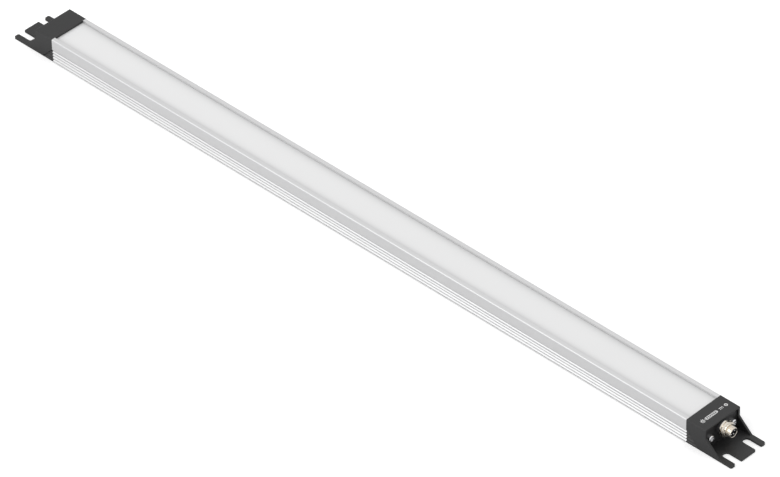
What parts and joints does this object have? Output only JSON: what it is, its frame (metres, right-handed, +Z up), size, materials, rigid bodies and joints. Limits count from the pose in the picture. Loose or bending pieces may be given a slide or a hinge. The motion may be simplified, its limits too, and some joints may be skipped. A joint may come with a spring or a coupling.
{
  "type": "led light bar",
  "caption": "Slim straight LED light bar: ribbed aluminium extrusion with an opal cover, dark end caps with open slotted feet, and a round threaded inlet at one end.",
  "frame": {"origin": "on the resting surface, under the middle of the bar's length and width", "axes": "+X along the bar towards the inlet end, +Y across it to the rear, +Z up out of the light cover"},
  "size_m": [0.702, 0.035, 0.02],
  "materials": {
    "aluminium": "satin natural anodised extrusion",
    "opal": "opal white diffuser, satin",
    "seal": "black elastomer",
    "tape": "thermally conductive tape",
    "board": "white solder mask",
    "led": "phosphor package",
    "chip": "moulded component body",
    "capacitor": "ceramic component body",
    "solder": "tinned copper",
    "cap_plastic": "charcoal glass-filled plastic, fine texture",
    "steel": "bright zinc-plated steel",
    "nickel": "nickel-plated brass",
    "insert": "black contact carrier",
    "contact": "bright silver-plated contact",
    "lead_brown": "brown insulation",
    "lead_blue": "blue insulation"
  },
  "bodies": {
    "root": {"housing_profile": "aluminium", "light_cover": "opal", "cover_seal_front": "seal", "cover_seal_rear": "seal", "thermal_tape": "tape", "led_board_1": "board", "led_board_2": "board", "led_board_3": "board", "led_packages_1": "led", "led_packages_2": "led", "led_packages_3": "led", "current_regulators": "chip", "string_resistors": "chip", "board_links": "solder", "surge_suppressor": "chip", "polarity_diode": "chip", "input_capacitor": "capacitor", "left_end_cap": "cap_plastic", "right_end_cap": "cap_plastic", "left_cap_gasket": "seal", "right_cap_gasket": "seal", "left_cap_screws": "steel", "right_cap_screws": "steel", "inlet_shell": "nickel", "inlet_seal": "seal", "inlet_lock_nut": "nickel", "contact_insert": "insert", "contact_pins": "contact", "supply_lead_positive": "lead_brown", "supply_lead_negative": "lead_blue"}
  },
  "joints": []
}
